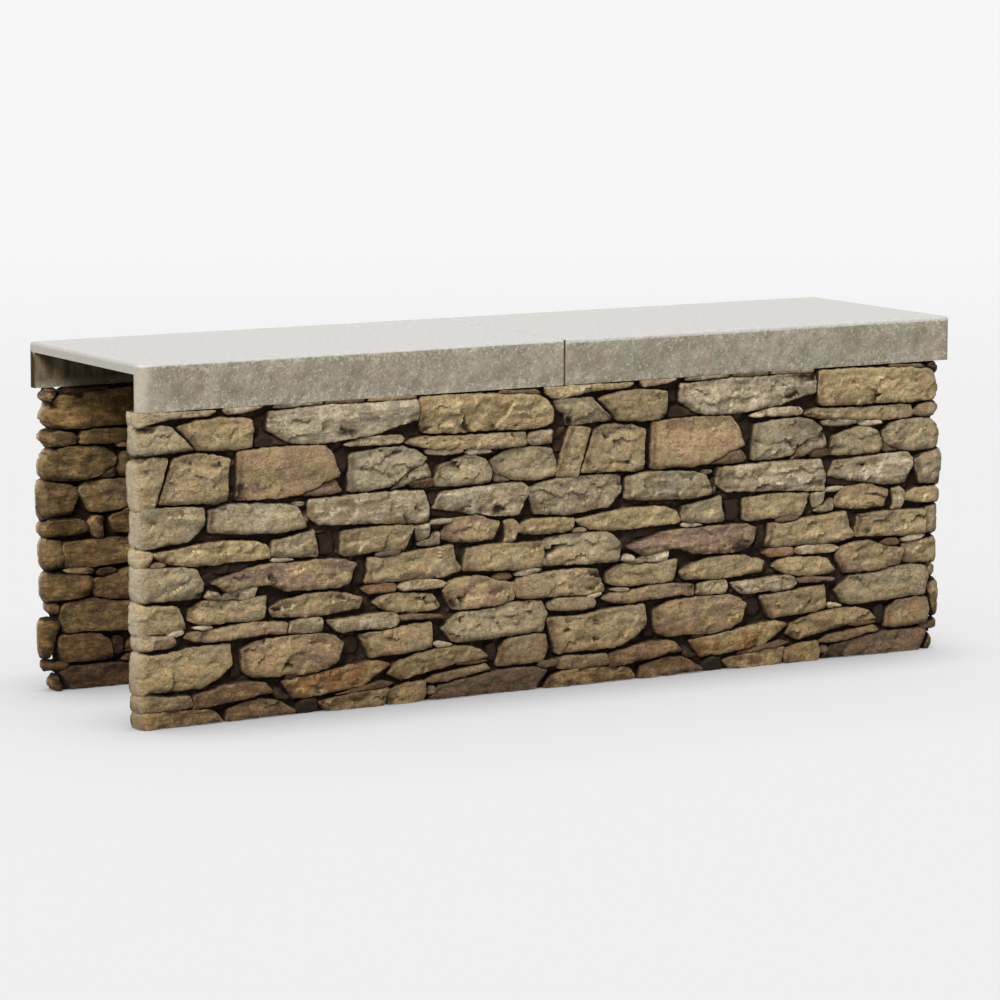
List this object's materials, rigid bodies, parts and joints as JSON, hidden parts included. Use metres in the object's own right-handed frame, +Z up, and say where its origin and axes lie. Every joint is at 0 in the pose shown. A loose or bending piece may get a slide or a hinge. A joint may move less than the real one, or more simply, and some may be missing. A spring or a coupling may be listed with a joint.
{
  "type": "dry stone wall",
  "caption": "Free-standing dry stone wall: leaves of coursed rubble with a hollow core between them, open at both ends, under wide channel-shaped copings.",
  "frame": {"origin": "on the ground, at the middle of the wall's footprint", "axes": "+X along the wall, -Y out of the front face, +Z up"},
  "size_m": [2.691, 0.734, 1],
  "materials": {
    "walling_stone": "matte",
    "coping_stone": "matte"
  },
  "bodies": {
    "root": {"front_course_01": "walling_stone", "front_course_02": "walling_stone", "front_course_03": "walling_stone", "front_course_04": "walling_stone", "front_course_05": "walling_stone", "front_course_06": "walling_stone", "front_course_07": "walling_stone", "front_course_08": "walling_stone", "front_course_09": "walling_stone", "front_course_10": "walling_stone", "back_course_01": "walling_stone", "back_course_02": "walling_stone", "back_course_03": "walling_stone", "back_course_04": "walling_stone", "back_course_05": "walling_stone", "back_course_06": "walling_stone", "back_course_07": "walling_stone", "back_course_08": "walling_stone", "back_course_09": "walling_stone", "back_course_10": "walling_stone", "coping_left": "coping_stone", "coping_right": "coping_stone"}
  },
  "joints": []
}
